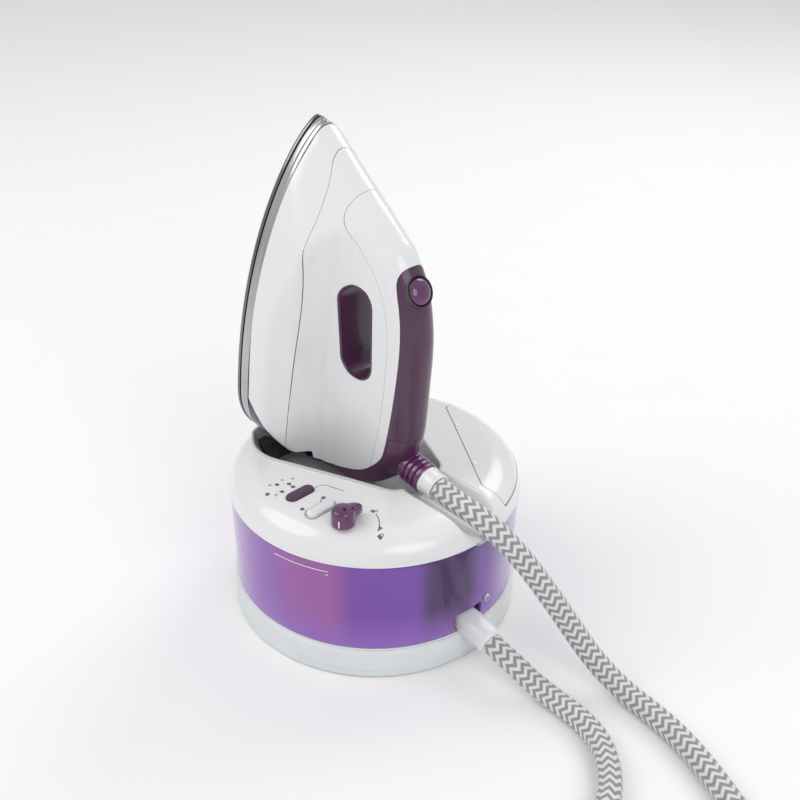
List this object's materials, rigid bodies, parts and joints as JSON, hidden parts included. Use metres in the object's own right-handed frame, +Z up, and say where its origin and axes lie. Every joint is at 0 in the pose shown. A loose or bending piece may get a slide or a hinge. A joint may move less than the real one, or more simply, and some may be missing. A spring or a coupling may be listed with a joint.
{
  "type": "steam generator iron",
  "caption": "Steam generator iron: an iron parked upright on a round base with a violet water tank, fill lid, lock knob, control panel and a braided steam hose.",
  "frame": {"origin": "centre of the round base at the floor", "axes": "+Z up; +X from the sole of the parked iron to its handle; the control panel is on the -Y side and the fill lid on the +Y side"},
  "size_m": [0.6377, 0.3491, 0.3762],
  "materials": {
    "white_shell": "white gloss moulded shell",
    "plum_trim": "deep plum satin gloss",
    "bright_plum": "glossy bright plum",
    "tank": "translucent violet, slightly frosted",
    "frosted_foot": "frosted grey white, slightly translucent",
    "grey_tray": "light grey satin",
    "dark_plastic": "dark grey matt",
    "rubber": "dark matt rubber",
    "board": "green circuit board",
    "silicone": "pale silicone",
    "indicator_lamp": "small clear light pipe",
    "hose_braid": "white textile braid with grey chevrons",
    "sole_metal": "smooth polished sole",
    "dark_chrome": "dark chromed rim",
    "steel": "brushed steel",
    "aluminium": "cast aluminium",
    "brass": "plain brass"
  },
  "bodies": {
    "base": {"base_plate": "frosted_foot", "water_tank": "tank", "rim_band": "white_shell", "tank_screw": "steel", "top_housing": "white_shell", "rest_tray": "grey_tray", "heel_rest": "dark_plastic", "lid_hinge_pin": "steel", "filler_pan": "white_shell", "filler_seal": "rubber", "control_board": "board", "boiler": "steel", "boiler_heater": "aluminium", "boiler_thermostat": "aluminium", "steam_valve": "brass", "water_pump": "dark_plastic", "pump_mount_1": "rubber", "pump_mount_2": "rubber", "pump_inlet_pipe": "silicone", "boiler_feed_pipe": "silicone", "steam_pipe": "silicone", "base_hose_gland": "white_shell", "base_hose_sleeve": "white_shell", "mains_cord_gland": "dark_plastic", "hose_upper_run": "hose_braid", "hose_lower_run": "hose_braid", "hose_coil": "hose_braid", "rubber_foot_1": "rubber", "led_1": "indicator_lamp", "rubber_foot_2": "rubber", "led_2": "indicator_lamp", "rubber_foot_3": "rubber", "led_3": "indicator_lamp", "rubber_foot_4": "rubber", "led_4": "indicator_lamp"},
    "iron": {"soleplate": "sole_metal", "heater_casting": "dark_chrome", "sole_heating_rod": "steel", "sole_thermostat": "aluminium", "iron_skirt": "white_shell", "upper_shell": "white_shell", "handle_frame": "white_shell", "handle_cover": "plum_trim", "heel_cover": "plum_trim", "opening_liner": "plum_trim", "button_switch": "dark_plastic", "hose_collar": "bright_plum", "iron_hose_sleeve": "white_shell", "iron_steam_tube": "silicone"},
    "steam_button": {"steam_button": "bright_plum"},
    "power_button": {"power_button": "bright_plum"},
    "clean_button": {"clean_button": "white_shell"},
    "lock_knob": {"lock_knob": "bright_plum", "knob_shaft": "steel"},
    "lock_latch": {"lock_latch": "dark_plastic"},
    "fill_lid": {"fill_lid": "white_shell"}
  },
  "joints": [
    {"name": "iron_lift", "type": "slide", "parent": "base", "child": "iron", "axis": [0, 0, 1], "range_m": [0, 0.12]},
    {"name": "steam_button_press", "type": "slide", "parent": "iron", "child": "steam_button", "axis": [-0.887, 0, -0.4617], "range_m": [0, 0.003], "stiffness_N_per_m": 500, "springref_m": -0.003},
    {"name": "power_button_press", "type": "slide", "parent": "base", "child": "power_button", "axis": [0, 0, -1], "range_m": [0, 0.0012], "stiffness_N_per_m": 800, "springref_m": -0.0015},
    {"name": "clean_button_press", "type": "slide", "parent": "base", "child": "clean_button", "axis": [0, 0, -1], "range_m": [0, 0.0012], "stiffness_N_per_m": 800, "springref_m": -0.0015},
    {"name": "lock_knob_turn", "type": "hinge", "parent": "base", "child": "lock_knob", "pos_m": [0.053, -0.078, 0.12], "axis": [0, 0, 1], "range_deg": [-65, 0]},
    {"name": "lock_latch_slide", "type": "slide", "parent": "base", "child": "lock_latch", "axis": [0, 1, 0], "range_m": [-0.0001, 0.0242]},
    {"name": "fill_lid_hinge", "type": "hinge", "parent": "base", "child": "fill_lid", "pos_m": [0.03856, 0.06292, 0.1291], "axis": [0.8526, -0.5225, 0], "range_deg": [0, 80]}
  ],
  "couplings": [
    {"joint": "lock_latch_slide", "follows": "lock_knob_turn", "m_per_rad": -0.021155}
  ]
}
